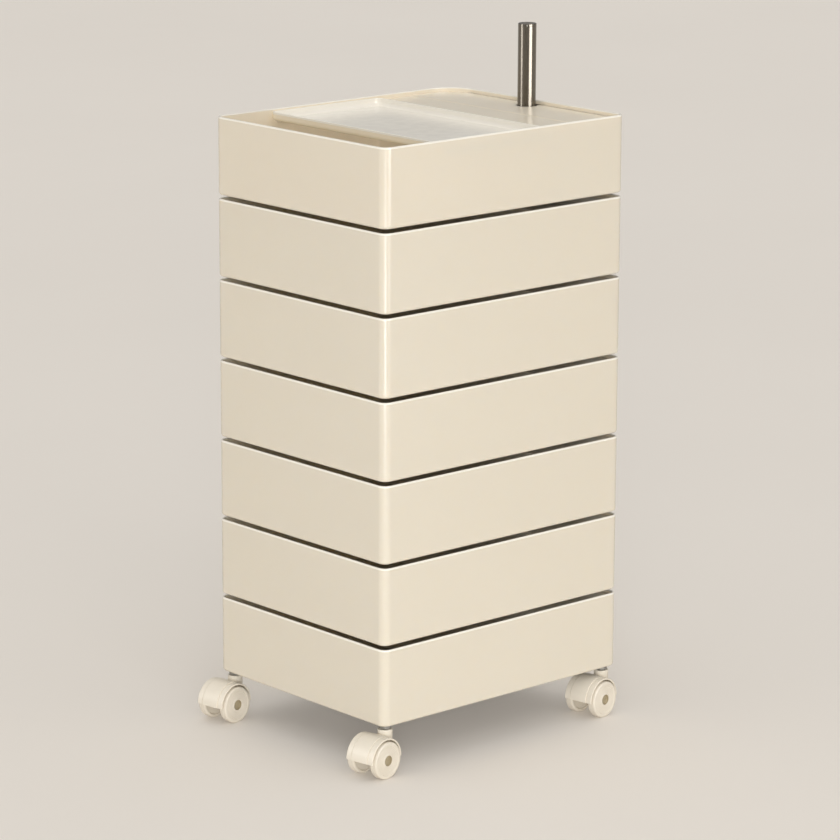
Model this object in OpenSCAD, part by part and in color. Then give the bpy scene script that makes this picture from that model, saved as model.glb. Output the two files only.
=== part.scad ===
// Swivel-tray tower: seven moulded trays that turn about one steel post, on four hooded castors.
// Trays lie along X. The post stands at the +X end, and the castors trail towards -X.
// The origin is on the floor, under the middle of the whole outline.

/* [Trays] */
// Length of a tray
tray_length = 425; // [380:5:480]
// Width of a tray
tray_width = 342; // [300:2:380]
// Height of a tray from its bottom edge to its rim
tray_height = 105; // [90:1:130]
// Gap between a rim and the bottom of the tray above it
tray_gap = 5; // [4:0.5:10]
// Height of the lowest tray's bottom edge above the floor
tray_clearance = 65; // [65:1:80]
// Thickness of the upright walls
wall = 3; // [2.5:0.25:4]
// Thickness of floors and decks
floor_thickness = 3; // [2:0.25:4]
// Plan radius of the three tight corners
corner_radius = 12; // [11:0.5:16]
// Plan radius of the one wide corner
wide_radius = 45; // [30:1:60]
// Radius along the outer bottom edge
edge_radius = 4; // [2:0.5:5]
// Radius of the cove where the pan's floor meets its walls
cove_radius = 6; // [3:0.5:7]

/* [Deck and hub] */
// Length of the closed deck at the post end
deck_length = 140; // [110:1:170]
// Depth of the deck below the rim
deck_drop = 6; // [4:0.5:10]
// Height of the low step across the deck
deck_step = 1; // [0.5:0.25:2]
// Distance from the end of the tray to that step
step_inset = 77; // [60:1:90]
// Distance from the end of the tray to the axis of the post
post_inset = 20; // [19.5:0.5:28]
// Wall of the moulded hub that holds the bushes
hub_wall = 3; // [2:0.25:4]
// Thickness of the ribs under the deck
rib = 2; // [1.5:0.25:3]
// Depth of the upper bush below the deck
bush_sink = 8; // [4:1:15]
// Length of a bush
bush_length = 14; // [10:1:20]
// Wall of a bush
bush_wall = 1.95; // [1.5:0.05:2.5]
// Thickness of the lower bush's flange
flange = 3; // [2:0.25:4]

/* [Post] */
// Outer radius of the post
post_radius = 12.5; // [10:0.5:14]
// Wall of the post
post_wall = 1.5; // [1:0.25:2.5]
// Height of the post above the top rim
post_rise = 106; // [60:1:140]
// Thickness of the cap on the post
cap_thickness = 3; // [2:0.5:5]

/* [Pen tray] */
// Length of the open pocket in front of the pen tray
pocket_length = 92; // [60:1:120]
// Depth of the pen tray's lip below the rim
pen_drop = 3; // [1:0.5:6]
// Height of the pen tray
pen_height = 12; // [11:0.5:18]
// Wall of the pen tray
pen_wall = 1.8; // [1.4:0.1:2.4]
// Plan radius of the pen tray's corners
pen_corner = 9; // [8.5:0.5:14]
// Radius along the pen tray's bottom edge
pen_edge = 5; // [3:0.5:6]
// Room between the pen tray and the tray round it
pen_room = 0.5; // [0.3:0.1:1]
// Width of the ledges that carry the pen tray
ledge = 9; // [8:0.5:12]
// Distance from the pen tray's front to the front ends of the ledges
ledge_setback = 12; // [8:1:30]

/* [Castors] */
// Distance from the tray's walls to a castor's stem
castor_inset = 15; // [14:0.5:20]
// Distance from a stem back to its axle
trail = 22; // [20:0.5:25]
// Angle to which the castors have swivelled
castor_turn = 8; // [0:1:20]
// Radius of a wheel
wheel_radius = 25; // [22:0.5:26]
// Width of a wheel
wheel_width = 12; // [10:0.5:14]
// Outer radius of a hood
hood_radius = 30; // [29:0.25:32]
// Wall of a hood
hood_wall = 2.8; // [2:0.1:3]
// Width of a hood
hood_width = 45; // [42:0.5:50]
// Half the width of the block between the two wheels
web_half = 12.5; // [11:0.5:14]
// Radius of the upright housing round a stem
housing_radius = 10; // [9:0.25:12]
// Radius of a stem's pin and of its threaded shank
stem_radius = 4; // [3:0.25:5]
// Radius of a stem's collar
collar_radius = 8; // [7:0.25:8.5]
// Radius of an axle
axle_radius = 3; // [2:0.25:4]

/* [Chassis] */
// Thickness of the steel plate under the lowest tray
plate_thickness = 2.5; // [2:0.25:4]
// Height of that plate above the lowest tray's bottom edge
plate_lift = 3.5; // [3:0.25:6]
// Room above the plate for nuts
nut_room = 7; // [6:0.5:10]
// Height of the socket that holds the post
socket_height = 30; // [20:1:40]
// Wall of that socket
socket_wall = 3; // [2:0.25:4]
// Radius of the screws' shanks
screw_radius = 2; // [1.5:0.1:2.5]

/* [Fits] */
// Radial clearance of everything that turns or slides on a round seat
fit = 0.05; // [0.02:0.01:0.1]
// Gap between moving pieces that don't bear on each other
air = 0.5; // [0.3:0.1:1]

/* [Hidden] */
$fn = 64;
TRAY_COLOUR = [0.89, 0.84, 0.75];
PEN_COLOUR = [0.93, 0.89, 0.81];
HOOD_COLOUR = [0.9, 0.86, 0.78];
WHEEL_COLOUR = [0.86, 0.82, 0.75];
STEEL_COLOUR = [0.72, 0.71, 0.69];
BUSH_COLOUR = [0.95, 0.95, 0.93];
LEVELS = 7;
OVERLAP = 1;
// A centred cutter is this many times as long as what it cuts through
THROUGH = 3;

pitch = tray_height + tray_gap;
bulkhead_x = tray_length - deck_length;
deck_top = tray_height - deck_drop;
base_floor = plate_lift + plate_thickness + nut_room;
pen_foot = tray_height - pen_drop - pen_height;
post_x = tray_length - post_inset;
post_y = tray_width / 2;
post_top = tray_clearance + (LEVELS - 1) * pitch + tray_height + post_rise;
bush_bore = post_radius + fit;
bush_radius = bush_bore + bush_wall;
hub_bore = bush_radius + fit;
hub_radius = hub_bore + hub_wall;
end_room = post_inset - wall;
spacer_bore = post_radius + air;
spacer_radius = min(hub_radius, end_room) - air;
spacer_height = pitch - deck_top - flange;
plate_z = tray_clearance + plate_lift;
plate_top = plate_z + plate_thickness;
plate_inset = wall + air;

// The castor's sizes across and up
wheel_gap = 1;
wheel_inner = web_half + wheel_gap;
wheel_outer = wheel_inner + wheel_width;
tyre_round = 2.5;
axle_seat = 8;
band_drop = 0.7;
housing_rise = 4;
pin_lift = 3;
band_radius = hood_radius - band_drop;
housing_top = wheel_radius + hood_radius + housing_rise;
stem_foot = wheel_radius + pin_lift;

// How far a turned body of a given radius and half width reaches along X and along Y
function reach_x(radius, half) = radius * cos(castor_turn) + half * sin(castor_turn);
function reach_y(radius, half) = half * cos(castor_turn) + radius * sin(castor_turn);
hood_reach = max(reach_x(hood_radius, wheel_inner), reach_x(band_radius, hood_width / 2));
wheel_reach_y = reach_y(wheel_radius - tyre_round, wheel_outer - tyre_round) + tyre_round;
axle_back = trail * cos(castor_turn);
axle_aside = trail * sin(castor_turn);
low_x = min(0, castor_inset - axle_back - hood_reach);
high_x = max(tray_length, tray_length - castor_inset - axle_back + hood_reach);
low_y = min(0, castor_inset - axle_aside - wheel_reach_y);
high_y = max(tray_width, tray_width - castor_inset - axle_aside + wheel_reach_y);
middle = [(low_x + high_x) / 2, (low_y + high_y) / 2];

// A castor's stem keeps the same distance from the wall at the wide corner as at the others
wide_inset = wide_radius - (wide_radius - castor_inset) / sqrt(2);
wide_spot_inset = max(castor_inset, wide_inset);
CASTOR_SPOTS = [
    [castor_inset, castor_inset],
    [tray_length - castor_inset, castor_inset],
    [tray_length - wide_spot_inset, tray_width - wide_spot_inset],
    [castor_inset, tray_width - castor_inset]
];

// Screws that hold the lowest tray to the plate, and those that hold the post's socket
boss_inset = 60;
boss_radius = 4.5;
PLATE_SPOTS = [
    for (x = [boss_inset, bulkhead_x - boss_inset / 2], y = [boss_inset, tray_width - boss_inset]) [x, y]
];
socket_reach = 40;
socket_half = 30;
socket_base = 4;
socket_radius = post_radius + fit + socket_wall;
screw_edge = 8;
SOCKET_SPOTS = [
    for (x = [post_x - socket_reach + screw_edge, post_x], y = [-1, 1])
        [x, post_y + y * (socket_half - screw_edge)]
];

// Moves what is drawn from a tray's near corner to the model's own origin
module on_floor() {
    translate([-middle.x, -middle.y, 0]) children();
}

module at_level(level) {
    on_floor() translate([0, 0, tray_clearance + (level - 1) * pitch]) children();
}

module at_post() {
    translate([post_x, post_y, 0]) children();
}

module ring(outer, inner, height) {
    difference() {
        cylinder(r = outer, h = height);
        translate([0, 0, -OVERLAP]) cylinder(r = inner, h = height + 2 * OVERLAP);
    }
}

// The waste outside a quarter circle, with its square corner at the origin
module corner_waste(radius) {
    difference() {
        translate([-OVERLAP, -OVERLAP]) square(radius + OVERLAP);
        translate([radius, radius]) circle(r = radius);
    }
}

// ---- Trays: plan, wall section and the sweep of one round the other ----

// Plan of a tray, drawn in by inset all round
module tray_plan(inset) {
    tight = corner_radius - inset;
    wide = wide_radius - inset;
    difference() {
        translate([inset, inset])
            square([tray_length - 2 * inset, tray_width - 2 * inset]);
        translate([inset, inset]) corner_waste(tight);
        translate([tray_length - inset, inset]) mirror([1, 0]) corner_waste(tight);
        translate([inset, tray_width - inset]) mirror([0, 1]) corner_waste(tight);
        translate([tray_length - inset, tray_width - inset])
            mirror([1, 0]) mirror([0, 1]) corner_waste(wide);
    }
}

// Upright wall with a round rim and a round outer bottom edge: x runs inwards, y upwards
module skirt_section() {
    difference() {
        union() {
            square([wall, tray_height - wall / 2]);
            translate([wall / 2, tray_height - wall / 2]) circle(r = wall / 2);
        }
        corner_waste(edge_radius);
    }
}

// The same wall where it also carries the edge of a coved floor
module pan_section(floor_z) {
    cove = wall + cove_radius;
    difference() {
        union() {
            skirt_section();
            translate([0, floor_z]) square([cove, floor_thickness + cove_radius]);
        }
        translate([cove, floor_z + floor_thickness + cove_radius]) circle(r = cove_radius);
        corner_waste(edge_radius);
    }
}

// A straight stretch of wall from a point, in the direction of an angle, with its inside to the left
module wall_run(start, angle, length) {
    translate(start) rotate([0, 0, angle]) rotate([90, 0, 90])
        linear_extrude(height = length) children();
}

// A quarter turn of wall round a corner's centre
module wall_corner(centre, radius, angle) {
    translate(centre) rotate([0, 0, angle]) rotate_extrude(angle = 90)
        translate([radius, 0]) mirror([1, 0]) children();
}

module tray_walls(floor_z) {
    inner_end = tray_length - corner_radius;
    inner_side = tray_width - corner_radius;
    pan_run = bulkhead_x - corner_radius;
    wall_corner([corner_radius, corner_radius], corner_radius, 180) pan_section(floor_z);
    wall_run([corner_radius, 0], 0, pan_run) pan_section(floor_z);
    wall_run([bulkhead_x, 0], 0, inner_end - bulkhead_x) skirt_section();
    wall_corner([inner_end, corner_radius], corner_radius, 270) skirt_section();
    wall_run([tray_length, corner_radius], 90, tray_width - corner_radius - wide_radius)
        skirt_section();
    wall_corner([tray_length - wide_radius, tray_width - wide_radius], wide_radius, 0)
        skirt_section();
    wall_run([tray_length - wide_radius, tray_width], 180, deck_length - wide_radius)
        skirt_section();
    wall_run([bulkhead_x, tray_width], 180, pan_run) pan_section(floor_z);
    wall_corner([corner_radius, inner_side], corner_radius, 90) pan_section(floor_z);
    wall_run([0, inner_side], 270, tray_width - 2 * corner_radius) pan_section(floor_z);
}

// A slab of the tray's plan between two places along X
module plan_slab(inset, from_x, to_x, height) {
    linear_extrude(height = height) intersection() {
        tray_plan(inset);
        translate([from_x, 0]) square([to_x - from_x, tray_width]);
    }
}

module deck() {
    step_x = tray_length - step_inset;
    translate([0, 0, deck_top - deck_step - floor_thickness])
        plan_slab(wall / 2, bulkhead_x, tray_length, floor_thickness);
    translate([0, 0, deck_top - floor_thickness])
        plan_slab(wall / 2, step_x, tray_length, floor_thickness);
}

// Ribs under the deck keep it flat and tie the hub to the walls
module deck_ribs(foot_z) {
    rib_height = deck_top - deck_step - floor_thickness / 2 - foot_z;
    for (share = [1, 2, 3])
        translate([bulkhead_x + wall / 2, share * tray_width / 4 - rib / 2, foot_z])
            cube([deck_length - wall, rib, rib_height]);
    translate([post_x - rib / 2, tray_width / 4, foot_z])
        cube([rib, tray_width / 2, rib_height]);
}

// A whole tray: the floor's height and the foot of its hub differ on the lowest one
module tray_body(floor_z, hub_z) {
    difference() {
        union() {
            tray_walls(floor_z);
            translate([0, 0, floor_z])
                plan_slab(wall + cove_radius, 0, bulkhead_x + wall / 2, floor_thickness);
            translate([bulkhead_x, wall / 2, floor_z])
                cube([wall, tray_width - wall, deck_top - deck_step - floor_z]);
            deck();
            deck_ribs(max(hub_z, edge_radius));
            at_post() translate([0, 0, hub_z]) cylinder(r = hub_radius, h = deck_top - hub_z - deck_step);
        }
        at_post() cylinder(r = hub_bore, h = THROUGH * tray_height, center = true);
    }
}

module swivel_tray(level) {
    color(TRAY_COLOUR) at_level(level) tray_body(0, 0);
}

// The lowest tray stands on the chassis plate, with bosses for its screws
module base_tray() {
    boss_z = plate_lift + plate_thickness;
    color(TRAY_COLOUR) at_level(1) {
        tray_body(base_floor, boss_z + socket_height + socket_base);
        for (spot = PLATE_SPOTS)
            translate([spot.x, spot.y, boss_z])
                ring(boss_radius, screw_radius + fit, nut_room + OVERLAP);
    }
}

// The top tray has ledges on three sides for the pen tray
module top_tray() {
    ledge_z = pen_foot - floor_thickness;
    ledge_x = pocket_length + ledge_setback;
    ledge_run = bulkhead_x + wall / 2 - ledge_x;
    color(TRAY_COLOUR) at_level(LEVELS) {
        tray_body(0, 0);
        for (y = [wall / 2, tray_width - wall / 2 - ledge])
            translate([ledge_x, y, ledge_z]) cube([ledge_run, ledge, floor_thickness]);
        translate([bulkhead_x - ledge, wall / 2, ledge_z])
            cube([ledge + wall / 2, tray_width - wall, floor_thickness]);
    }
}

// ---- Pen tray: one section swept round a rounded rectangle ----

module pen_section() {
    inner = pen_edge - pen_wall;
    difference() {
        union() {
            square([pen_edge, pen_edge]);
            square([pen_wall, pen_height - pen_wall / 2]);
            translate([pen_wall / 2, pen_height - pen_wall / 2]) circle(r = pen_wall / 2);
        }
        translate([pen_edge, pen_edge]) circle(r = inner);
        corner_waste(pen_edge);
    }
}

module pen_tray() {
    length = bulkhead_x - pen_room - pocket_length;
    width = tray_width - 2 * wall - 2 * pen_room;
    run_x = length - 2 * pen_corner;
    run_y = width - 2 * pen_corner;
    color(PEN_COLOUR) at_level(LEVELS)
        translate([pocket_length, wall + pen_room, pen_foot]) {
            wall_run([pen_corner, 0], 0, run_x) pen_section();
            wall_run([length, pen_corner], 90, run_y) pen_section();
            wall_run([length - pen_corner, width], 180, run_x) pen_section();
            wall_run([0, width - pen_corner], 270, run_y) pen_section();
            for (turn = [0, 90, 180, 270]) {
                x = turn == 0 || turn == 270 ? length - pen_corner : pen_corner;
                y = turn < 180 ? width - pen_corner : pen_corner;
                wall_corner([x, y], pen_corner, turn) pen_section();
            }
            linear_extrude(height = pen_wall) difference() {
                translate([pen_edge, pen_edge])
                    square([length - 2 * pen_edge, width - 2 * pen_edge]);
                for (x = [0, 1], y = [0, 1])
                    translate([pen_edge + x * (length - 2 * pen_edge), pen_edge + y * (width - 2 * pen_edge)])
                        mirror([x, 0]) mirror([0, y]) corner_waste(pen_corner - pen_edge);
            }
        }
}

// ---- Bushes and rings on the post ----

module upper_bush(level) {
    color(BUSH_COLOUR) at_level(level) at_post()
        translate([0, 0, deck_top - deck_step - bush_sink - bush_length])
            ring(bush_radius, bush_bore, bush_length);
}

module lower_bush(level) {
    flange_radius = min(hub_radius, end_room);
    color(BUSH_COLOUR) at_level(level) at_post() difference() {
        union() {
            translate([0, 0, -flange]) cylinder(r = flange_radius, h = flange);
            cylinder(r = bush_radius, h = bush_length);
        }
        cylinder(r = bush_bore, h = THROUGH * bush_length, center = true);
    }
}

module base_bush() {
    upper_bush(1);
}

// Ring that carries the tray above, standing on the deck round the post
module spacer_ring(level) {
    color(BUSH_COLOUR) at_level(level) at_post()
        translate([0, 0, deck_top]) ring(spacer_radius, spacer_bore, spacer_height);
}

// ---- Post, its cap and its socket ----

module post() {
    color(STEEL_COLOUR) on_floor() at_post() translate([0, 0, plate_top + socket_base])
        ring(post_radius, post_radius - post_wall, post_top - cap_thickness - plate_top - socket_base);
}

module post_cap() {
    chamfer = 0.8;
    plug = 12;
    plug_radius = post_radius - post_wall - fit;
    color(STEEL_COLOUR) on_floor() at_post() translate([0, 0, post_top - cap_thickness]) {
        cylinder(r = post_radius, h = cap_thickness - chamfer);
        translate([0, 0, cap_thickness - chamfer])
            cylinder(r1 = post_radius, r2 = post_radius - chamfer, h = chamfer);
        translate([0, 0, -plug]) cylinder(r = plug_radius, h = plug);
    }
}

module post_socket() {
    color(STEEL_COLOUR) on_floor() difference() {
        translate([0, 0, plate_top]) {
            translate([post_x - socket_reach, post_y - socket_half, 0])
                cube([socket_reach + end_room - air, 2 * socket_half, socket_base]);
            at_post() cylinder(r = socket_radius, h = socket_height);
        }
        at_post() translate([0, 0, plate_top + socket_base])
            cylinder(r = post_radius + fit, h = socket_height);
        for (spot = SOCKET_SPOTS)
            translate([spot.x, spot.y, plate_z])
                cylinder(r = screw_radius + fit, h = socket_height, center = true);
    }
}

// ---- Chassis plate and its fasteners ----

module chassis_plate() {
    color(STEEL_COLOUR) on_floor() translate([0, 0, plate_z])
        difference() {
            linear_extrude(height = plate_thickness) tray_plan(plate_inset);
            for (spot = CASTOR_SPOTS)
                translate([spot.x, spot.y, -OVERLAP])
                    cylinder(r = stem_radius + fit, h = plate_thickness + 2 * OVERLAP);
            for (spot = concat(PLATE_SPOTS, SOCKET_SPOTS))
                translate([spot.x, spot.y, -OVERLAP])
                    cylinder(r = screw_radius + fit, h = plate_thickness + 2 * OVERLAP);
        }
}

// Pan-head screw that points up, with the underside of its head at the origin
module screw(length) {
    head_height = 2.4;
    head_radius = 3.8;
    cylinder(r = screw_radius, h = length);
    translate([0, 0, -head_height]) cylinder(r = head_radius, h = head_height);
}

module plate_screws() {
    color(STEEL_COLOUR) on_floor()
        for (spot = PLATE_SPOTS)
            translate([spot.x, spot.y, plate_z]) screw(plate_thickness + nut_room - OVERLAP);
}

module socket_screws() {
    nut_height = 3.2;
    nut_radius = 4;
    color(STEEL_COLOUR) on_floor()
        for (spot = SOCKET_SPOTS)
            translate([spot.x, spot.y, plate_z]) {
                screw(plate_thickness + socket_base + nut_height + OVERLAP);
                translate([0, 0, plate_thickness + socket_base])
                    cylinder(r = nut_radius, h = nut_height, $fn = 6);
            }
}

// ---- Castors ----

module at_castor(corner) {
    on_floor() translate([CASTOR_SPOTS[corner].x, CASTOR_SPOTS[corner].y, 0])
        rotate([0, 0, castor_turn]) children();
}

// Turns what stands along Z to lie along the axle, with its top towards -Y
module on_axle() {
    translate([-trail, 0, wheel_radius]) rotate([90, 0, 0]) children();
}

// Stem: pin below, collar under the plate, threaded shank through it
module castor_stem() {
    shank_top = plate_top + nut_room - OVERLAP;
    translate([0, 0, stem_foot]) cylinder(r = stem_radius, h = shank_top - stem_foot);
    translate([0, 0, housing_top + air]) cylinder(r = collar_radius, h = plate_z - housing_top - air);
}

module castor_stems() {
    color(STEEL_COLOUR)
        for (corner = [0 : len(CASTOR_SPOTS) - 1]) at_castor(corner) castor_stem();
}

module castor_nuts() {
    nut_height = 5;
    nut_share = 1.85;
    nut_radius = nut_share * stem_radius;
    color(STEEL_COLOUR)
        for (corner = [0 : len(CASTOR_SPOTS) - 1])
            at_castor(corner) translate([0, 0, plate_top]) difference() {
                cylinder(r = nut_radius, h = nut_height, $fn = 6);
                cylinder(r = stem_radius + fit, h = THROUGH * nut_height, center = true);
            }
}

// Upper half of a drum round the axle, with a slightly lower band at each end
module half_drum() {
    intersection() {
        on_axle() {
            cylinder(r = hood_radius, h = 2 * wheel_inner, center = true);
            cylinder(r = band_radius, h = hood_width, center = true);
        }
        translate([-trail - hood_radius, -hood_width, wheel_radius])
            cube([2 * hood_radius, 2 * hood_width, hood_radius]);
    }
}

// Hood: a half drum over both wheels, a hollow block between them and the housing of the stem
module castor_hood(corner) {
    well_radius = hood_radius - hood_wall;
    boss = 8;
    housing_hang = 5;
    housing_foot = wheel_radius - housing_hang;
    color(HOOD_COLOUR) at_castor(corner) difference() {
        union() {
            difference() {
                half_drum();
                on_axle() cylinder(r = well_radius, h = 2 * (web_half - hood_wall), center = true);
            }
            on_axle() cylinder(r = boss, h = 2 * web_half, center = true);
            translate([-trail, -hood_wall / 2, wheel_radius]) cube([trail, hood_wall, boss]);
            translate([0, 0, housing_foot]) cylinder(r = housing_radius, h = housing_top - housing_foot);
        }
        on_axle()
            for (side = [0, 1]) mirror([0, 0, side])
                translate([0, 0, web_half]) cylinder(r = well_radius, h = hood_width);
        on_axle() cylinder(r = axle_radius + fit, h = 2 * hood_width, center = true);
        translate([0, 0, stem_foot - OVERLAP]) cylinder(r = stem_radius + fit, h = housing_top);
    }
}

module castor_axle(corner) {
    color(STEEL_COLOUR) at_castor(corner) on_axle()
        cylinder(r = axle_radius, h = 2 * (wheel_inner + axle_seat - air), center = true);
}

// Wheel section: x is the radius, y runs from the inner face to the outer one
module wheel_section() {
    recess_radius = 6.2;
    recess_depth = 2.5;
    groove_depth = 0.6;
    groove_width = 1;
    hub_land = 3;
    tread_land = 6;
    difference() {
        square([wheel_radius, wheel_width]);
        translate([wheel_radius, 0]) mirror([1, 0]) corner_waste(tyre_round);
        translate([wheel_radius, wheel_width]) mirror([1, 0]) mirror([0, 1]) corner_waste(tyre_round);
        translate([-OVERLAP, -OVERLAP]) square([axle_radius + fit + OVERLAP, axle_seat + OVERLAP]);
        translate([-OVERLAP, wheel_width - recess_depth]) square([recess_radius + OVERLAP, wheel_width]);
        for (radius = [recess_radius + hub_land, wheel_radius - tread_land])
            translate([radius, wheel_width - groove_depth]) square([groove_width, wheel_width]);
    }
}

// side 0 is the wheel towards -Y and side 1 the one towards +Y
module castor_wheel(corner, side) {
    color(WHEEL_COLOUR) at_castor(corner) on_axle() mirror([0, 0, side])
        translate([0, 0, wheel_inner]) rotate_extrude() wheel_section();
}

base_tray();
swivel_tray(2);  // tray_2
swivel_tray(3);  // tray_3
swivel_tray(4);  // tray_4
swivel_tray(5);  // tray_5
swivel_tray(6);  // tray_6
top_tray();
pen_tray();
base_bush();
lower_bush(2);  // lower_bush_2
lower_bush(3);  // lower_bush_3
lower_bush(4);  // lower_bush_4
lower_bush(5);  // lower_bush_5
lower_bush(6);  // lower_bush_6
lower_bush(7);  // lower_bush_7
upper_bush(2);  // upper_bush_2
upper_bush(3);  // upper_bush_3
upper_bush(4);  // upper_bush_4
upper_bush(5);  // upper_bush_5
upper_bush(6);  // upper_bush_6
upper_bush(7);  // upper_bush_7
spacer_ring(1);  // spacer_ring_1
spacer_ring(2);  // spacer_ring_2
spacer_ring(3);  // spacer_ring_3
spacer_ring(4);  // spacer_ring_4
spacer_ring(5);  // spacer_ring_5
spacer_ring(6);  // spacer_ring_6
post();
post_cap();
post_socket();
chassis_plate();
plate_screws();
socket_screws();
castor_stems();
castor_nuts();
castor_hood(0);  // front_castor_hood
castor_axle(0);  // front_castor_axle
castor_wheel(0, 0);  // front_castor_wheel_a
castor_wheel(0, 1);  // front_castor_wheel_b
castor_hood(1);  // right_castor_hood
castor_axle(1);  // right_castor_axle
castor_wheel(1, 0);  // right_castor_wheel_a
castor_wheel(1, 1);  // right_castor_wheel_b
castor_hood(2);  // back_castor_hood
castor_axle(2);  // back_castor_axle
castor_wheel(2, 0);  // back_castor_wheel_a
castor_wheel(2, 1);  // back_castor_wheel_b
castor_hood(3);  // left_castor_hood
castor_axle(3);  // left_castor_axle
castor_wheel(3, 0);  // left_castor_wheel_a
castor_wheel(3, 1);  // left_castor_wheel_b
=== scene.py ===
from math import cos, pi, radians, sin, tau

import bmesh
import bpy
from mathutils import Matrix, Vector


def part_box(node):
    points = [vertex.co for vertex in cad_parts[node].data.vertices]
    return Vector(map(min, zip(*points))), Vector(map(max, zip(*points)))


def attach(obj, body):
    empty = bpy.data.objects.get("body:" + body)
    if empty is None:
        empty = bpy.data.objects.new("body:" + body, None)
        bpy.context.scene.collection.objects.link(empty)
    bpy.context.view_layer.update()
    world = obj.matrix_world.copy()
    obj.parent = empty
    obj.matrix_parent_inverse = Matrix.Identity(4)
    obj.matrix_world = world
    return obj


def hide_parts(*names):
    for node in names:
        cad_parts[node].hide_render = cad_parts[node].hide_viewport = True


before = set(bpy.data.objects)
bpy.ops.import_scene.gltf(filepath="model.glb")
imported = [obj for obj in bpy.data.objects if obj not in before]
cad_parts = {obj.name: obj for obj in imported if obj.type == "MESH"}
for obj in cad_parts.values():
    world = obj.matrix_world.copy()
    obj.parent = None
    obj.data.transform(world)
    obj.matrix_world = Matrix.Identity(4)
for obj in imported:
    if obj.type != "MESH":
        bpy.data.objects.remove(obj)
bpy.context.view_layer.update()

# ---- Chassis: plate, socket of the post, screws and nuts ----
# A pressed steel plate hidden in the skirt of the lowest tray, powder coated in a warm grey. It carries the
# four castor stems, and the socket of the post is screwed to it. Its screws and nuts are bright zinc.

MM = 0.001
# Most values of a cloud's pattern lie between these
CLOUD_LOW, CLOUD_HIGH = 0.3, 0.7
CHASSIS_GREY = (0.33, 0.32, 0.30)
CHASSIS_GREY_WORN = (0.27, 0.26, 0.245)
ZINC = (0.62, 0.62, 0.60)
ZINC_DULL = (0.50, 0.50, 0.49)


def new_finish(name, roughness, metallic=0.0, specular=0.5):
    """A material with one plain shader, whose even values are set on the shader itself."""
    finish = bpy.data.materials.new(name)
    finish.use_nodes = True
    shader = finish.node_tree.nodes["Principled BSDF"]
    shader.inputs["Roughness"].default_value = roughness
    shader.inputs["Metallic"].default_value = metallic
    shader.inputs["Specular IOR Level"].default_value = specular
    return finish


def cloud(finish, scale, detail=3.0, stretch=(1, 1, 1)):
    """A cloudy pattern fixed to the object itself, drawn out along an axis by a small stretch there."""
    nodes, links = finish.node_tree.nodes, finish.node_tree.links
    place = nodes.new("ShaderNodeTexCoord")
    mapping = nodes.new("ShaderNodeMapping")
    mapping.inputs["Scale"].default_value = stretch
    pattern = nodes.new("ShaderNodeTexNoise")
    pattern.inputs["Scale"].default_value = scale
    pattern.inputs["Detail"].default_value = detail
    links.new(place.outputs["Object"], mapping.inputs["Vector"])
    links.new(mapping.outputs["Vector"], pattern.inputs["Vector"])
    return pattern.outputs["Fac"]


def two_tones(finish, pattern, pale, deep):
    """Base colour that drifts between two tones of one pigment."""
    nodes, links = finish.node_tree.nodes, finish.node_tree.links
    ramp = nodes.new("ShaderNodeValToRGB")
    ramp.color_ramp.elements[0].position = CLOUD_LOW
    ramp.color_ramp.elements[0].color = (*deep, 1)
    ramp.color_ramp.elements[1].position = CLOUD_HIGH
    ramp.color_ramp.elements[1].color = (*pale, 1)
    links.new(pattern, ramp.inputs["Fac"])
    links.new(ramp.outputs["Color"], nodes["Principled BSDF"].inputs["Base Color"])


def uneven_gloss(finish, pattern, smooth, rough):
    """Roughness that varies over the surface between two values."""
    nodes, links = finish.node_tree.nodes, finish.node_tree.links
    spread = nodes.new("ShaderNodeMapRange")
    spread.inputs["From Min"].default_value = CLOUD_LOW
    spread.inputs["From Max"].default_value = CLOUD_HIGH
    spread.inputs["To Min"].default_value = smooth
    spread.inputs["To Max"].default_value = rough
    links.new(pattern, spread.inputs["Value"])
    links.new(spread.outputs["Result"], nodes["Principled BSDF"].inputs["Roughness"])


def lets_light_in(finish, share, depth, spread):
    """Lets a share of the light wander inside the plastic, to a depth in metres that differs by colour."""
    shader = finish.node_tree.nodes["Principled BSDF"]
    shader.inputs["Subsurface Weight"].default_value = share
    shader.inputs["Subsurface Scale"].default_value = depth
    shader.inputs["Subsurface Radius"].default_value = spread


def surface_grain(finish, pattern, height, strength):
    """Fine relief, height being its depth in metres."""
    nodes, links = finish.node_tree.nodes, finish.node_tree.links
    relief = nodes.new("ShaderNodeBump")
    relief.inputs["Distance"].default_value = height
    relief.inputs["Strength"].default_value = strength
    links.new(pattern, relief.inputs["Height"])
    links.new(relief.outputs["Normal"], nodes["Principled BSDF"].inputs["Normal"])


powder_coat = new_finish("powder_coated_steel", 0.5)
two_tones(powder_coat, cloud(powder_coat, 9), CHASSIS_GREY, CHASSIS_GREY_WORN)
uneven_gloss(powder_coat, cloud(powder_coat, 60), 0.42, 0.6)
surface_grain(powder_coat, cloud(powder_coat, 700), 0.00015, 0.35)

zinc_plate = new_finish("zinc_plated_steel", 0.32, metallic=1.0)
two_tones(zinc_plate, cloud(zinc_plate, 160), ZINC, ZINC_DULL)
uneven_gloss(zinc_plate, cloud(zinc_plate, 420), 0.24, 0.42)
surface_grain(zinc_plate, cloud(zinc_plate, 1500), 0.00004, 0.3)


def finish_node(node, finish):
    """Gives a finish to a part that is shown as its own solid."""
    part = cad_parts[node]
    part.data.materials.clear()
    part.data.materials.append(finish)


for node in ("chassis_plate", "post_socket"):
    finish_node(node, powder_coat)
for node in ("plate_screws", "socket_screws", "castor_nuts"):
    finish_node(node, zinc_plate)

# ---- Castor stems ----
# Four turned steel stems: a pin below, in the housing of the hood, a collar that bears on the plate and a
# shank through it to the nut. Only the grey collar shows, in the gap between castor and tray. Their zinc is
# dull, and painted dark grey as painted shade, for the shade in that gap.

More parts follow.
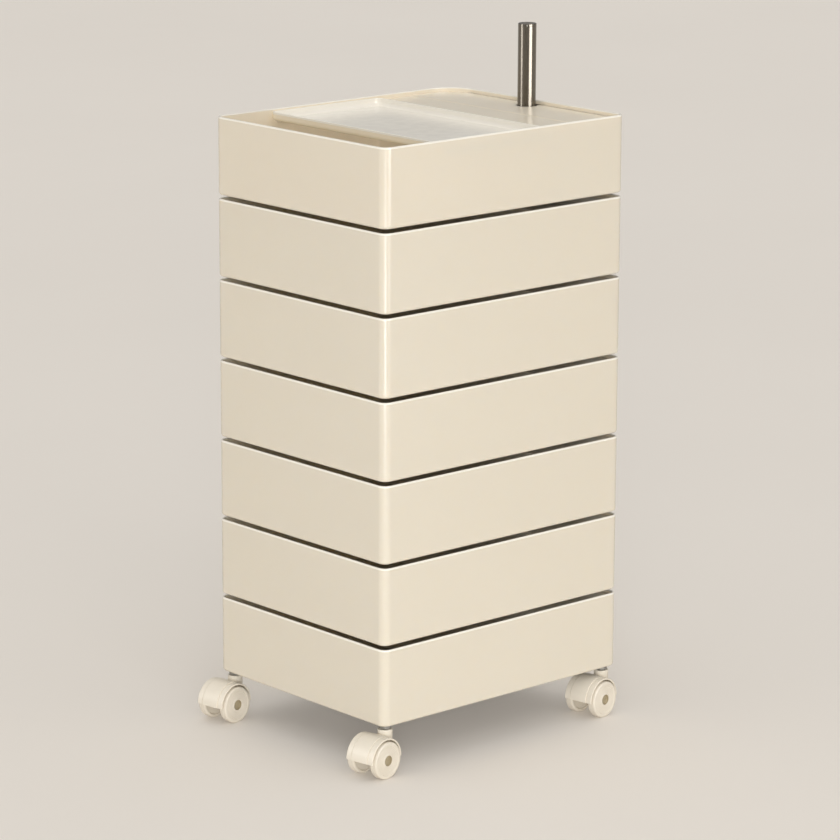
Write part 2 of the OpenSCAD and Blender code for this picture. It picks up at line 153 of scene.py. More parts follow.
STEM_STEPS = 48
COLLAR_RADIUS = 8.0
COLLAR_HEIGHT = 9.0
COLLAR_WAIST = 0.5
STEM_RADIUS = 4.0
SHARP_ANGLE = radians(40)
ZINC_SHADE_PAINT = (0.34, 0.33, 0.30)
ZINC_SHADE_PAINT_DEEP = (0.28, 0.27, 0.25)
CORNERS = ("front", "right", "back", "left")
CASTOR_TURN = radians(8)
TRAIL = 22.0
WHEEL_RADIUS = 25.0


def round_corners(bm, corners, radius, segments):
    """Rounds corners of a flat outline."""
    bmesh.ops.bevel(
        bm, geom=corners, offset=radius, offset_type="OFFSET", segments=segments, profile=0.5,
        affect="VERTICES", material=-1,
    )


def rounded_outline(bm, outline, segments):
    """A flat face from a closed outline, whose points are each given with the rounding of their corner."""
    corners = [(bm.verts.new(point), rounding) for point, rounding in outline]
    bm.faces.new([corner for corner, rounding in corners])
    for size in sorted({rounding for corner, rounding in corners if rounding}):
        round_corners(bm, [corner for corner, rounding in corners if rounding == size], size, segments)


def turned(bm, section, steps):
    """A solid turned on a lathe about Z, from a closed outline of (radius, height, corner rounding)."""
    before = set(bm.verts)
    rounded_outline(bm, [((radius, 0, height), rounding) for radius, height, rounding in section], 4)
    fresh = [v for v in bm.verts if v not in before]
    bmesh.ops.delete(bm, geom=[f for f in fresh[0].link_faces], context="FACES_ONLY")
    on_axis = [e for v in fresh for e in v.link_edges if all(end.co.x < 1e-6 for end in e.verts)]
    bmesh.ops.delete(bm, geom=list(set(on_axis)), context="EDGES")
    fresh = [v for v in bm.verts if v not in before]
    lines = list({e for v in fresh for e in v.link_edges})
    bmesh.ops.spin(
        bm, geom=fresh + lines, cent=(0, 0, 0), axis=(0, 0, 1), angle=tau, steps=steps, use_merge=True,
        use_duplicate=False,
    )
    fresh = [v for v in bm.verts if v not in before]
    bmesh.ops.remove_doubles(bm, verts=fresh, dist=1e-4)
    return [v for v in bm.verts if v not in before]


def set_in_place(bm, origin, turn=0.0):
    """Turns a mesh drawn in millimetres about Z, and sets it at its place in the tower, in metres."""
    bmesh.ops.scale(bm, vec=(MM, MM, MM), verts=bm.verts[:])
    bmesh.ops.rotate(bm, cent=(0, 0, 0), matrix=Matrix.Rotation(turn, 3, "Z"), verts=bm.verts[:])
    bmesh.ops.translate(bm, vec=Vector(origin), verts=bm.verts[:])


def make_piece(bm, name, finishes, body, stands_for, softened=0.0):
    """Makes a mesh a piece of the tower, with its sharp edges softened by a small radius in millimetres."""
    bmesh.ops.recalc_face_normals(bm, faces=bm.faces[:])
    mesh = bpy.data.meshes.new(name)
    bm.to_mesh(mesh)
    bm.free()
    mesh.shade_smooth()
    for finish in finishes:
        mesh.materials.append(finish)
    piece = bpy.data.objects.new(name, mesh)
    bpy.context.scene.collection.objects.link(piece)
    if softened:
        soft = piece.modifiers.new("soft_edges", "BEVEL")
        soft.limit_method = "ANGLE"
        soft.angle_limit = SHARP_ANGLE
        soft.width = softened * MM
        soft.segments = 2
        soft.use_clamp_overlap = False
    else:
        mesh.set_sharp_from_angle(angle=SHARP_ANGLE)
    even = piece.modifiers.new("even_shading", "WEIGHTED_NORMAL")
    even.keep_sharp = True
    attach(piece, body)
    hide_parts(*stands_for)
    return piece


def middle_of(node):
    """Middle of a CAD node's box."""
    low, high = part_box(node)
    return (low + high) / 2


def castor_origin(corner):
    """Point on the castor's axle, halfway between its wheels."""
    return middle_of(f"{corner}_castor_axle")


def stem_axis(corner):
    """Point on the floor under the castor's stem."""
    ahead = Matrix.Rotation(CASTOR_TURN, 3, "Z") @ Vector((TRAIL * MM, 0, 0))
    spot = castor_origin(corner) + ahead
    return Vector((spot.x, spot.y, 0))


stem_low, stem_high = (corner.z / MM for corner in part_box("castor_stems"))
plate_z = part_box("chassis_plate")[0].z / MM
collar_foot = plate_z - COLLAR_HEIGHT
waist_radius = COLLAR_RADIUS - COLLAR_WAIST

# Dull zinc, painted darker as painted shade for the gap under the trays
zinc_painted_shade = new_finish("zinc_painted_shade", 0.5, metallic=1.0)
two_tones(zinc_painted_shade, cloud(zinc_painted_shade, 200), ZINC_SHADE_PAINT, ZINC_SHADE_PAINT_DEEP)
uneven_gloss(zinc_painted_shade, cloud(zinc_painted_shade, 500), 0.42, 0.55)

stems = bmesh.new()
for corner in CORNERS:
    stem = turned(
        stems,
        [
            (0, stem_low, 0), (STEM_RADIUS, stem_low, 0.8), (STEM_RADIUS, collar_foot, 0),
            (COLLAR_RADIUS, collar_foot, 0.7), (COLLAR_RADIUS, collar_foot + 3.4, 0.15),
            (waist_radius, collar_foot + 3.7, 0), (waist_radius, collar_foot + 4.3, 0),
            (COLLAR_RADIUS, collar_foot + 4.6, 0.15), (COLLAR_RADIUS, plate_z, 0.4),
            (STEM_RADIUS, plate_z, 0), (STEM_RADIUS, stem_high, 0.8), (0, stem_high, 0),
        ],
        STEM_STEPS,
    )
    bmesh.ops.translate(stems, vec=stem_axis(corner) / MM, verts=stem)
set_in_place(stems, (0, 0, 0))
make_piece(stems, "turned_stems", [zinc_painted_shade], "base", ["castor_stems"])

# ---- Castor hoods ----
# One moulding of cream nylon for each castor: a half drum over both wheels, with a groove and a lower band
# at each end, half discs and a boss for the axle between the wheels, and the upright housing of the stem.
# The axle is a zinc-plated steel pin.

HOOD_RADIUS = 30.0
BAND_RADIUS = 29.3
WELL_RADIUS = 27.2
HOOD_HALF = 22.5
CROWN_HALF = 13.5
GROOVE = 0.7
DISC_OUTER = 12.5
DISC_INNER = 9.7
DISC_FOOT = 7.4
BOSS_BORE = 3.2
BOSS_RADIUS = 8.0
BOSS_HALF = 12.2
WEB_HALF = 1.4
HOUSING_RADIUS = 10.0
HOUSING_FOOT = -5.0
HOUSING_TOP = 34.0
HOUSING_BORE = 4.05
HOUSING_BORE_FOOT = 2.0
HOOD_STEPS = 60
NYLON = (0.84, 0.77, 0.65)
NYLON_DEEP = (0.80, 0.73, 0.605)

nylon = new_finish("cream_nylon", 0.4)
two_tones(nylon, cloud(nylon, 14), NYLON, NYLON_DEEP)
uneven_gloss(nylon, cloud(nylon, 90), 0.33, 0.45)
surface_grain(nylon, cloud(nylon, 1100), 0.00006, 0.25)


def box_between(bm, low, high, taper=0.0):
    """A block between two corners, drawn in at its foot as a mould's draft."""
    low, high = Vector(low), Vector(high)
    block = bmesh.ops.create_cube(bm, size=1)["verts"]
    bmesh.ops.scale(bm, vec=high - low, verts=block)
    bmesh.ops.translate(bm, vec=(low + high) / 2, verts=block)
    foot = [v for v in block if abs(v.co.z - low.z) < 1e-4]
    for v in foot:
        v.co.x += taper if v.co.x < (low.x + high.x) / 2 else -taper
        v.co.y += taper if v.co.y < (low.y + high.y) / 2 else -taper
    return block


def hood_mesh():
    """The hood about its axle, which lies along Y: the stem stands ahead of it, at +X."""
    bm = bmesh.new()
    half = [
        (HOOD_HALF, WELL_RADIUS, 0.5), (HOOD_HALF, BAND_RADIUS, 0.7),
        (CROWN_HALF + GROOVE, BAND_RADIUS, 0.15), (CROWN_HALF + GROOVE, BAND_RADIUS - GROOVE, 0.1),
        (CROWN_HALF, BAND_RADIUS - GROOVE, 0.1), (CROWN_HALF, HOOD_RADIUS, 0.6),
    ]
    under = [
        (DISC_OUTER, WELL_RADIUS, 0.8), (DISC_OUTER, DISC_FOOT, 0.3), (DISC_INNER, DISC_FOOT, 0.3),
        (DISC_INNER, WELL_RADIUS, 1.2),
    ]
    section = half + [(-y, radius, rounding) for y, radius, rounding in reversed(half)]
    section += [(-y, radius, rounding) for y, radius, rounding in under] + under[::-1]
    rounded_outline(bm, [((radius, y, 0), rounding) for y, radius, rounding in section], 3)
    bmesh.ops.spin(
        bm, geom=bm.verts[:] + bm.edges[:] + bm.faces[:], cent=(0, 0, 0), axis=(0, -1, 0), angle=pi,
        steps=HOOD_STEPS, use_merge=False, use_duplicate=False,
    )
    boss = turned(
        bm,
        [
            (BOSS_BORE, -BOSS_HALF, 0.3), (BOSS_RADIUS, -BOSS_HALF, 0.5), (BOSS_RADIUS, BOSS_HALF, 0.5),
            (BOSS_BORE, BOSS_HALF, 0.3),
        ],
        40,
    )
    bmesh.ops.rotate(bm, cent=(0, 0, 0), matrix=Matrix.Rotation(pi / 2, 3, "X"), verts=boss)
    box_between(bm, (3, -WEB_HALF, -0.2), (TRAIL, WEB_HALF, 8), 0.2)
    housing = turned(
        bm,
        [
            (0, HOUSING_FOOT, 0), (HOUSING_RADIUS - 0.3, HOUSING_FOOT, 1.2),
            (HOUSING_RADIUS, HOUSING_TOP, 1.1), (HOUSING_BORE, HOUSING_TOP, 0.4),
            (HOUSING_BORE, HOUSING_BORE_FOOT, 0), (0, HOUSING_BORE_FOOT, 0),
        ],
        56,
    )
    bmesh.ops.translate(bm, vec=(TRAIL, 0, 0), verts=housing)
    return bm


for corner in CORNERS:
    hood = hood_mesh()
    set_in_place(hood, castor_origin(corner), CASTOR_TURN)
    make_piece(
        hood, f"{corner}_hood", [nylon], f"{corner}_castor", [f"{corner}_castor_hood"]
    )
    finish_node(f"{corner}_castor_axle", zinc_plate)

# ---- Castor wheels ----
# Two moulded wheels of cream plastic stand on each axle, one on each side of the hood's half discs. The
# tread is plain. The outer face is dished, with shallow rings left by the mould, a raised hub and a blind
# recess at its middle, painted dark tan inside as painted shade.

WHEEL_INNER = 13.5
WHEEL_WIDTH = 12.0
RECESS_RADIUS = 7.0
RECESS_DEPTH = 3.2
AXLE_HOLE = 3.05
AXLE_HOLE_DEPTH = 8.0
BACK_HOLLOW = 2.2
RING_COUNT = 4
FIRST_RING = 11.2
RING_PITCH = 2.0
RING_HALF = 0.45
RING_EDGE = 11.66
RING_FLOOR = 11.42
WHEEL_STEPS = 96
WHEEL_CREAM = (0.80, 0.73, 0.615)
WHEEL_CREAM_DEEP = (0.76, 0.69, 0.57)
RECESS_SHADE_TAN = (0.44, 0.365, 0.235)
RECESS_SHADE_TAN_DEEP = (0.38, 0.31, 0.19)

wheel_cream = new_finish("cream_wheel_plastic", 0.48)
two_tones(wheel_cream, cloud(wheel_cream, 18), WHEEL_CREAM, WHEEL_CREAM_DEEP)
uneven_gloss(wheel_cream, cloud(wheel_cream, 130), 0.4, 0.56)
surface_grain(wheel_cream, cloud(wheel_cream, 1300), 0.00006, 0.3)

# Painted shade: the dark tan inside the blind recess of each wheel
recess_shade_paint = new_finish("painted_shade_hub_recess", 0.55)
two_tones(recess_shade_paint, cloud(recess_shade_paint, 150), RECESS_SHADE_TAN, RECESS_SHADE_TAN_DEEP)
uneven_gloss(recess_shade_paint, cloud(recess_shade_paint, 400), 0.48, 0.62)


def wheel_mesh(side):
    """A wheel about its axle: side is -1 for the one towards -Y and 1 for the one towards +Y."""
    bm = bmesh.new()
    recess_floor = WHEEL_WIDTH - RECESS_DEPTH
    rings = []
    for count in range(RING_COUNT):
        ring_radius = FIRST_RING + RING_PITCH * count
        rings += [
            (ring_radius - RING_HALF, RING_EDGE, 0), (ring_radius, RING_FLOOR, 0),
            (ring_radius + RING_HALF, RING_EDGE, 0),
        ]
    face = [
        (0, recess_floor, 0), (RECESS_RADIUS, recess_floor, 0.3), (RECESS_RADIUS, WHEEL_WIDTH, 0.5),
        (9.0, WHEEL_WIDTH, 0.3), (9.5, 11.4, 0.1), (10.1, 11.4, 0.1), (10.4, 11.7, 0.1),
        *rings,
        (18.9, 11.7, 0.1), (19.2, 11.35, 0.1), (19.8, 11.35, 0.1), (20.2, WHEEL_WIDTH, 0.3),
    ]
    tread = [(WHEEL_RADIUS, WHEEL_WIDTH, 2.5), (WHEEL_RADIUS, 0, 2.5)]
    back = [
        (21.2, 0, 0.4), (20.4, BACK_HOLLOW, 0.6), (9.6, BACK_HOLLOW, 0.6), (8.8, 0, 0.4), (AXLE_HOLE, 0, 0.2),
        (AXLE_HOLE, AXLE_HOLE_DEPTH, 0), (0, AXLE_HOLE_DEPTH, 0),
    ]
    wheel = turned(bm, face + tread + back, WHEEL_STEPS)
    # The walls and floor of the recess take the painted shade
    for strip in bm.faces:
        if all(v.co.xy.length < RECESS_RADIUS + 0.05 and v.co.z > recess_floor - 0.3 for v in strip.verts):
            strip.material_index = 1
    bmesh.ops.translate(bm, vec=(0, 0, WHEEL_INNER), verts=wheel)
    bmesh.ops.rotate(bm, cent=(0, 0, 0), matrix=Matrix.Rotation(-side * pi / 2, 3, "X"), verts=wheel)
    return bm


for corner in CORNERS:
    for letter, side in (("a", -1), ("b", 1)):
        wheel = wheel_mesh(side)
        set_in_place(wheel, castor_origin(corner), CASTOR_TURN)
        make_piece(
            wheel, f"{corner}_wheel_{letter}", [wheel_cream, recess_shade_paint], f"{corner}_castor_wheel_{letter}",
            [f"{corner}_castor_wheel_{letter}"],
        )

# ---- Post and cap ----
# A stainless tube, 25 mm across, stands in the socket and passes through the hubs of all the trays. It is
# brushed lengthways. A turned cap with a small chamfer is pressed into its top.

POST_RADIUS = 12.5
POST_WALL = 1.5
POST_STEPS = 128
CAP_THICKNESS = 3.0
CAP_CHAMFER = 0.8
PLUG_DEPTH = 12.0
PLUG_PLAY = 0.1
STAINLESS = (0.24, 0.217, 0.184)
STAINLESS_DEEP = (0.222, 0.20, 0.168)

brushed_tube = new_finish("brushed_stainless", 0.27, metallic=1.0)
brushed_shader = brushed_tube.node_tree.nodes["Principled BSDF"]
brushed_shader.inputs["Anisotropic"].default_value = 1.0
brushed_shader.inputs["Anisotropic Rotation"].default_value = 0.25
two_tones(brushed_tube, cloud(brushed_tube, 1500, 3, (1, 1, 0.02)), STAINLESS, STAINLESS_DEEP)
uneven_gloss(brushed_tube, cloud(brushed_tube, 2500, 2, (1, 1, 0.01)), 0.26, 0.28)

post_axis = middle_of("post")
post_foot, post_head = (end.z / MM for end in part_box("post"))

tube = bmesh.new()
turned(
    tube,
    [
        (POST_RADIUS - POST_WALL, post_foot, 0.2), (POST_RADIUS, post_foot, 0.3),
        (POST_RADIUS, post_head, 0.15), (POST_RADIUS - POST_WALL, post_head, 0.2),
    ],
    POST_STEPS,
)
set_in_place(tube, (post_axis.x, post_axis.y, 0))
post_piece = make_piece(tube, "post_tube", [brushed_tube], "base", ["post"])

plug_foot = post_head - PLUG_DEPTH
plug_radius = POST_RADIUS - POST_WALL - PLUG_PLAY
cap_top = post_head + CAP_THICKNESS
cap = bmesh.new()
turned(
    cap,
    [
        (0, plug_foot, 0), (plug_radius, plug_foot, 0.6), (plug_radius, post_head + 0.02, 0),
        (POST_RADIUS - 0.1, post_head + 0.05, 0.15), (POST_RADIUS, post_head + 0.3, 0.1),
        (POST_RADIUS, cap_top - CAP_CHAMFER, 0.2), (POST_RADIUS - CAP_CHAMFER, cap_top, 0.2), (0, cap_top, 0),
    ],
    POST_STEPS,
)
set_in_place(cap, (post_axis.x, post_axis.y, 0))
make_piece(cap, "post_end_cap", [brushed_tube], "base", ["post_cap"])

# ---- Trays ----
# Seven injection-moulded trays of cream ABS with a satin face. Each has a round rim, a soft outer edge
# below, a pan with a coved floor, and at the post end a closed deck over ribs and a hub. One corner at the
# post end is wide, the other three are tight.

TRAY_LENGTH = 425.0
TRAY_WIDTH = 342.0
TRAY_HEIGHT = 105.0
TRAY_WALL = 3.0
TRAY_FLOOR = 3.0
TIGHT_CORNER = 12.0
WIDE_CORNER = 45.0
OUTER_EDGE = 4.0
EDGE_TURN = radians(75.522)
COVE = 6.0
BULKHEAD = 285.0
BULKHEAD_CORNER = 7.0
DECK_LOW = 98.0
DECK_STEP = 1.0
STEP_AT = 348.0
DECK_UNDERSIDE = 95.0
HUB_X = 405.0
HUB_Y = 171.0
HUB_BORE = 14.5
HUB_RADIUS = 17.5
HUB_SQUARE = 16.0
HUB_STEPS = 64
BORE_PLAY = 0.1
RAMP_HALF = 0.6
RIB = 2.0
DRAFT = 0.1
RIM_STEPS = 8
RIM_BAND = 1.0
CORNER_STEPS = 14
EDGE_STEPS = 6
COVE_STEPS = 7
SOFT_EDGE = 0.35
# Points this close together, in millimetres, count as level
LEVEL = 1e-3
ABS_CREAM = (0.775, 0.705, 0.585)
ABS_CREAM_DEEP = (0.766, 0.696, 0.575)
INNER_BOUNCE_CREAM = (0.92, 0.825, 0.67)
INNER_BOUNCE_CREAM_DEEP = (0.905, 0.81, 0.655)
RIM_HIGHLIGHT_CREAM = (0.94, 0.90, 0.81)
RIM_HIGHLIGHT_CREAM_DEEP = (0.92, 0.875, 0.78)
ABS_DEPTH = 0.005
ABS_SPREAD = (1.0, 0.9, 0.75)

satin_abs = new_finish("satin_cream_abs", 0.25)
two_tones(satin_abs, cloud(satin_abs, 3.5, 2), ABS_CREAM, ABS_CREAM_DEEP)
uneven_gloss(satin_abs, cloud(satin_abs, 18, 2), 0.235, 0.26)
surface_grain(satin_abs, cloud(satin_abs, 900, 2), 0.00002, 0.08)
lets_light_in(satin_abs, 0.5, ABS_DEPTH, ABS_SPREAD)

# The round rims and the pen tray's lip are painted paler than the walls, as a painted highlight along them
rim_highlight_abs = new_finish("painted_highlight_rim_abs", 0.22)
two_tones(rim_highlight_abs, cloud(rim_highlight_abs, 8, 2), RIM_HIGHLIGHT_CREAM, RIM_HIGHLIGHT_CREAM_DEEP)
uneven_gloss(rim_highlight_abs, cloud(rim_highlight_abs, 60, 3), 0.19, 0.26)

# The inside of a pan is painted paler than the outside: painted light, for the light that bounces between its
# walls
inner_bounce_abs = new_finish("satin_inner_abs_painted_bounce", 0.25)
two_tones(inner_bounce_abs, cloud(inner_bounce_abs, 3.5, 2), INNER_BOUNCE_CREAM, INNER_BOUNCE_CREAM_DEEP)
uneven_gloss(inner_bounce_abs, cloud(inner_bounce_abs, 18, 2), 0.235, 0.27)
surface_grain(inner_bounce_abs, cloud(inner_bounce_abs, 900, 2), 0.00002, 0.08)
lets_light_in(inner_bounce_abs, 0.2, ABS_DEPTH, ABS_SPREAD)
tray_finishes = [satin_abs, rim_highlight_abs, inner_bounce_abs]


def rounded_plate(bm, length, width, radii, segments):
    """A flat plate with rounded corners. The radii go round from the corner at the origin."""
    plate = bmesh.ops.create_grid(bm, x_segments=1, y_segments=1, size=0.5)["verts"]
    bmesh.ops.scale(bm, vec=(length, width, 1), verts=plate)
    bmesh.ops.translate(bm, vec=(length / 2, width / 2, 0), verts=plate)
    spots = ((0, 0), (length, 0), (length, width), (0, width))
    corners = [min(plate, key=lambda v: (v.co.xy - Vector(spot)).length) for spot in spots]
    for radius in sorted(set(radii)):
        chosen = [corner for corner, size in zip(corners, radii) if size == radius]
        round_corners(bm, chosen, radius, segments)
    return bm.faces[:][0]


def draw_in(bm, face, inwards, up):
    """Adds a strip of wall round a flat face: the face goes inwards and up by these amounts."""
    if inwards:
        bmesh.ops.inset_region(bm, faces=[face], thickness=inwards, use_even_offset=True, use_boundary=True)
    else:
        face = bmesh.ops.extrude_discrete_faces(bm, faces=[face])["faces"][0]
    bmesh.ops.translate(bm, vec=(0, 0, up), verts=face.verts[:])
    return face


def arc_in(bm, face, radius, start, end, steps, up=1):
    """Draws a face in along an arc of wall, from one angle above the level to another."""
    for count in range(steps):
        a = start + (end - start) * count / steps
        b = start + (end - start) * (count + 1) / steps
        face = draw_in(bm, face, radius * (cos(a) - cos(b)), up * radius * (sin(b) - sin(a)))
    return face


def mark_rim_highlight(bm, foot):
    """Gives the round rim above a level the second of a piece's finishes, its painted highlight."""
    for face in bm.faces:
        if all(v.co.z > foot - LEVEL for v in face.verts):
            face.material_index = 1


def lies_at(part, height):
    """Says whether a face or an edge lies flat at a height."""
    return all(abs(v.co.z - height) < LEVEL for v in part.verts)


def split_face(bm, face, where, along):
    """Cuts a flat face across, and returns the part before the cut and the part after it."""
    height = face.verts[0].co.z
    bmesh.ops.bisect_plane(
        bm, geom=[face] + face.edges[:] + face.verts[:], plane_co=along * where, plane_no=along
    )
    cut = [v for v in bm.verts if abs(v.co.dot(along) - where) < LEVEL and abs(v.co.z - height) < LEVEL]
    parts = {f for v in cut for f in v.link_faces if lies_at(f, height)}
    parts = sorted(parts, key=lambda f: f.calc_center_bounds().dot(along))
    return parts[0], parts[-1]


def bore_face(bm, face, centre, half, radius, steps):
    """Cuts a round hole in a flat face, through a small square round its middle. Returns the hole's edge."""
    x_axis, y_axis = Vector((1, 0, 0)), Vector((0, 1, 0))
    face = split_face(bm, face, centre.x - half, x_axis)[1]
    face = split_face(bm, face, centre.x + half, x_axis)[0]
    face = split_face(bm, face, centre.y - half, y_axis)[1]
    face = split_face(bm, face, centre.y + half, y_axis)[0]
    sides = face.edges[:]
    bmesh.ops.delete(bm, geom=[face], context="FACES_ONLY")
    bmesh.ops.subdivide_edges(bm, edges=sides, cuts=steps // 4 - 1, use_grid_fill=False)
    sides = [
        e
        for e in bm.edges
        if e.is_boundary
        and all(max(abs(v.co.x - centre.x), abs(v.co.y - centre.y)) < half + LEVEL for v in e.verts)
        and lies_at(e, centre.z)
    ]
    circle = bmesh.ops.create_circle(
        bm, cap_ends=False, radius=radius, segments=steps, matrix=Matrix.Translation(centre)
    )["verts"]
    hole = list({e for v in circle for e in v.link_edges})
    bmesh.ops.bridge_loops(bm, edges=sides + hole)
    return hole


def tray_mesh(floor, hub_foot, open_below, ledges):
    """A whole tray from its near corner, with the levels of its pan's underside and of its hub's foot."""
    bm = bmesh.new()
    corners = (TIGHT_CORNER, TIGHT_CORNER, WIDE_CORNER, TIGHT_CORNER)
    plan = rounded_plate(bm, TRAY_LENGTH, TRAY_WIDTH, corners, CORNER_STEPS)
    bmesh.ops.translate(bm, vec=(0, 0, OUTER_EDGE), verts=bm.verts[:])
    lifted = bmesh.ops.extrude_face_region(bm, geom=[plan], use_keep_orig=True)["geom"]
    top = next(part for part in lifted if isinstance(part, bmesh.types.BMFace))
    bottom = next(f for f in bm.faces if f != top and len(f.verts) > 4)
    rim = TRAY_WALL / 2
    bmesh.ops.translate(bm, vec=(0, 0, TRAY_HEIGHT - rim - RIM_BAND - OUTER_EDGE), verts=top.verts[:])

    # Rim, the inside of the wall, and the deck and pan below it
    outside = set(bm.faces) - {top}
    top = draw_in(bm, top, 0, RIM_BAND)
    top = arc_in(bm, top, rim, 0, pi, RIM_STEPS)
    top = draw_in(bm, top, 0, DECK_LOW - (TRAY_HEIGHT - rim))
    mark_rim_highlight(bm, TRAY_HEIGHT - rim - RIM_BAND)
    pan, deck = split_face(bm, top, BULKHEAD, Vector((1, 0, 0)))
    cove_top = floor + TRAY_FLOOR + COVE
    pan = draw_in(bm, pan, 0, cove_top - DECK_LOW)
    uprights = [
        e
        for v in pan.verts
        for e in v.link_edges
        if abs(v.co.x - BULKHEAD) < LEVEL and abs(e.other_vert(v).co.z - DECK_LOW) < LEVEL
    ]
    bmesh.ops.bevel(
        bm, geom=uprights, offset=BULKHEAD_CORNER, offset_type="OFFSET", segments=8, profile=0.5,
        affect="EDGES", material=-1,
    )
    pan = next(f for f in bm.faces if lies_at(f, cove_top))
    pan = arc_in(bm, pan, COVE, 0, pi / 2, COVE_STEPS, up=-1)

    # The deck's low step and the bore of the hub through it
    deck = max((f for f in bm.faces if lies_at(f, DECK_LOW)), key=lambda f: f.calc_area())
    deck = split_face(bm, deck, STEP_AT - RAMP_HALF, Vector((1, 0, 0)))[1]
    deck = split_face(bm, deck, STEP_AT + RAMP_HALF, Vector((1, 0, 0)))[1]
    bmesh.ops.translate(bm, vec=(0, 0, DECK_STEP), verts=deck.verts[:])
    bore = HUB_BORE + BORE_PLAY
    deck_centre = Vector((HUB_X, HUB_Y, DECK_LOW + DECK_STEP))
    upper = bore_face(bm, deck, deck_centre, HUB_SQUARE, bore, HUB_STEPS)
    # The inside takes the third finish, painted paler for the light bounced between the walls
    for face in set(bm.faces) - outside:
        if face.material_index == 0:
            face.material_index = 2

    # The soft outer edge, which turns in until it has crossed the wall, the open skirt under the deck, and
    # the underside of the pan, which is flat, or is recessed for the chassis plate in the lowest tray
    bottom = arc_in(bm, bottom, OUTER_EDGE, 0, EDGE_TURN, EDGE_STEPS, up=-1)
    under_pan, under_deck = split_face(bm, bottom, BULKHEAD + TRAY_WALL, Vector((1, 0, 0)))
    sill = under_pan.verts[0].co.z
    if open_below:
        draw_in(bm, under_pan, 0, floor - sill)
    else:
        draw_in(bm, under_pan, 1.0, -sill)
    under_deck = draw_in(bm, under_deck, 0, DECK_UNDERSIDE - sill)
    under_centre = Vector((HUB_X, HUB_Y, DECK_UNDERSIDE))
    lower = bore_face(bm, under_deck, under_centre, HUB_SQUARE, bore, HUB_STEPS)
    bmesh.ops.bridge_loops(bm, edges=upper + lower)

    # Hub and ribs under the deck. Both run half a wall into what they stand on
    bite = TRAY_WALL / 2
    hub_top = DECK_LOW - bite
    hub = turned(
        bm,
        [
            (HUB_BORE, hub_foot, 0.3), (HUB_RADIUS, hub_foot, 0.4), (HUB_RADIUS, hub_top, 0),
            (HUB_BORE, hub_top, 0),
        ],
        HUB_STEPS,
    )
    bmesh.ops.translate(bm, vec=(HUB_X, HUB_Y, 0), verts=hub)
    half_rib = RIB / 2
    rib_foot = max(hub_foot, OUTER_EDGE)
    rib_top = DECK_UNDERSIDE + 1
    for share in (1, 2, 3):
        middle = TRAY_WIDTH * share / 4
        end = HUB_X - HUB_BORE - bite if share == 2 else TRAY_LENGTH - bite
        start = (BULKHEAD + bite, middle - half_rib, rib_foot)
        box_between(bm, start, (end, middle + half_rib, rib_top), DRAFT)
    for side in (-1, 1):
        near = HUB_Y + side * (HUB_BORE + bite)
        far = HUB_Y + side * TRAY_WIDTH / 4
        start = (HUB_X - half_rib, min(near, far), rib_foot)
        box_between(bm, start, (HUB_X + half_rib, max(near, far), rib_top), DRAFT)
    for low, high in ledges:
        box_between(bm, low, high, DRAFT)
    return bm


def tray_origin(node):
    """Near corner of a tray, at the level of its bottom edge."""
    low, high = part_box(node)
    return Vector((low.x, low.y, high.z - TRAY_HEIGHT * MM))


# The lowest tray also has four bosses under its pan, for the screws of the chassis plate
BASE_FLOOR = 13.0
BASE_HUB_FOOT = 40.0
BOSS_INSET = 60
SCREW_BORE = 2.1
SCREW_BOSS = 4.5
SCREW_BOSS_FOOT = 6
SCREW_BOSS_TOP = 14
base = tray_mesh(BASE_FLOOR, BASE_HUB_FOOT, True, [])
for x in (BOSS_INSET, BULKHEAD - 30):
    for y in (BOSS_INSET, TRAY_WIDTH - BOSS_INSET):
        boss = turned(
            base,
            [
                (SCREW_BORE, SCREW_BOSS_FOOT, 0.2), (SCREW_BOSS, SCREW_BOSS_FOOT, 0.4),
                (SCREW_BOSS, SCREW_BOSS_TOP, 0), (SCREW_BORE, SCREW_BOSS_TOP, 0),
            ],
            32,
        )
        bmesh.ops.translate(base, vec=(x, y, 0), verts=boss)
set_in_place(base, tray_origin("base_tray"))
make_piece(base, "base_tray_moulding", tray_finishes, "base", ["base_tray"], SOFT_EDGE)

for level in range(2, 7):
    body = f"tray_{level}"
    tray = tray_mesh(0, 0, False, [])
    set_in_place(tray, tray_origin(body))
    make_piece(tray, f"{body}_moulding", tray_finishes, body, [body], SOFT_EDGE)

# The top tray also has three ledges, on which the pen tray rests
LEDGE_START = 104.0
LEDGE = 9.0
LEDGE_FOOT = 87.0
LEDGE_TOP = 90.0
half_wall = TRAY_WALL / 2
ledge_end = BULKHEAD + half_wall
far_wall = TRAY_WIDTH - half_wall
pen_ledges = [
    ((LEDGE_START, half_wall, LEDGE_FOOT), (ledge_end, half_wall + LEDGE, LEDGE_TOP)),
    ((LEDGE_START, far_wall - LEDGE, LEDGE_FOOT), (ledge_end, far_wall, LEDGE_TOP)),
    ((BULKHEAD - LEDGE, 5, LEDGE_FOOT + 0.02), (ledge_end, TRAY_WIDTH - 5, LEDGE_TOP - 0.02)),
]
top_tray = tray_mesh(0, 0, False, pen_ledges)
set_in_place(top_tray, tray_origin("top_tray"))
make_piece(top_tray, "top_tray_moulding", tray_finishes, "top_tray", ["top_tray"], SOFT_EDGE)

# ---- Bushes and spacer rings ----
# White acetal rings on the post: two bushes in the hub of each turning tray, one of them with a flange
# below, a bush in the lowest tray, and a spacer on each deck that carries the tray above it. A flange
# slides on the spacer below it, across a very small gap.

ACETAL = (0.80, 0.79, 0.755)
ACETAL_DEEP = (0.74, 0.73, 0.69)
BUSH_BORE = 12.55
BUSH_RADIUS = 14.5
FLANGE_RADIUS = 17.0
FLANGE = 3.0
SPACER_BORE = 13.0
SPACER_RADIUS = 16.5
BUSH_STEPS = 72

